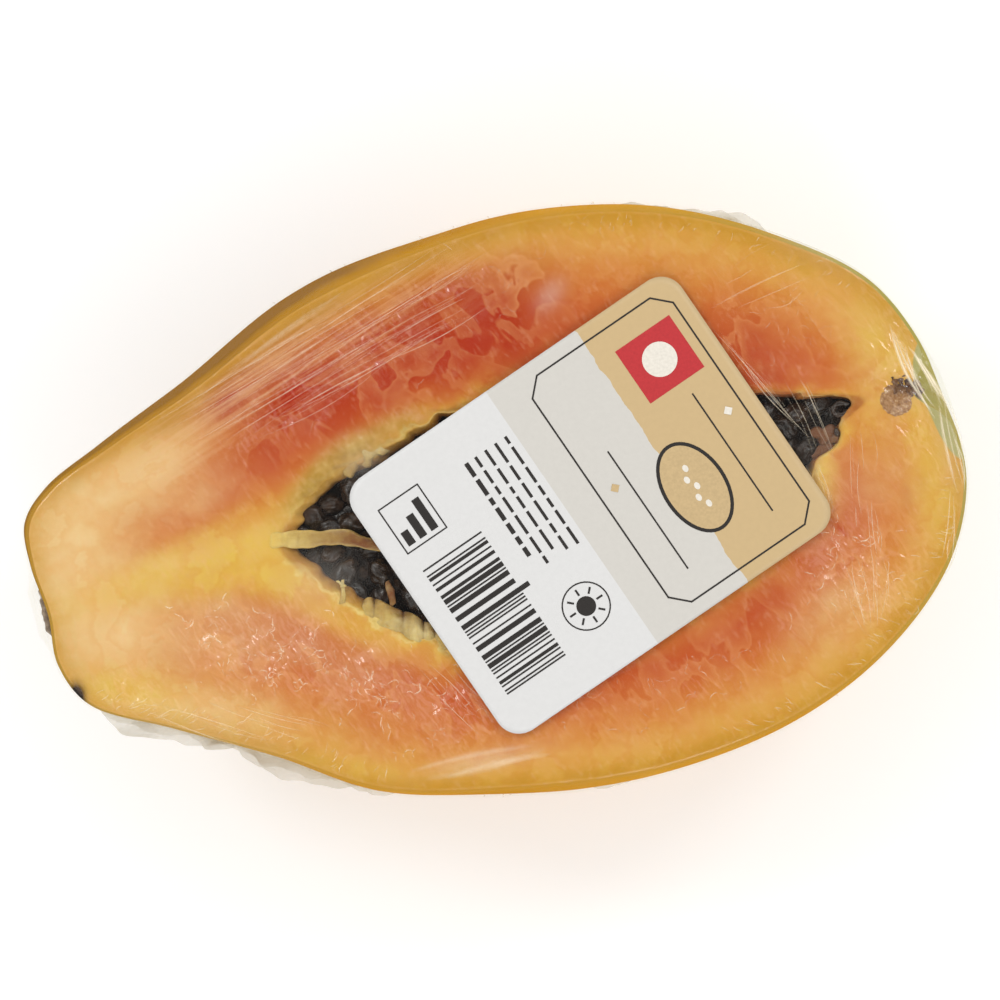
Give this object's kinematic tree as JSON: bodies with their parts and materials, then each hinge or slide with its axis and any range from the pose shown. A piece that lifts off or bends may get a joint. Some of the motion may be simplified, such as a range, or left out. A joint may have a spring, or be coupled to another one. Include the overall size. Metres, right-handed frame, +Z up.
{
  "type": "film-wrapped papaya half",
  "caption": "Half a ripe papaya lying cut face up, with seeds in its cavity, wrapped in clear cling film with a plain rounded label stuck on top.",
  "frame": {"origin": "centre of the footprint, on the surface the half rests on", "axes": "+X along the fruit from the stem end to the blossom end, +Z up, square to the cut face, +Y across it"},
  "size_m": [0.1874, 0.1142, 0.0565],
  "materials": {
    "papaya_flesh": "wet orange fruit flesh under a thin yellow-ochre skin",
    "papaya_seed": "wet, near black, wrinkled seed coats",
    "cork": "dry granular brown cork",
    "dry_wood": "grey-brown dried stalk end",
    "cling_film": "clear stretched film with fine creases",
    "label_paper": "satin printed paper label"
  },
  "bodies": {
    "root": {"fruit": "papaya_flesh", "seeds": "papaya_seed", "blossom_scar": "cork", "stem_scar": "dry_wood", "film": "cling_film", "label": "label_paper"}
  },
  "joints": []
}
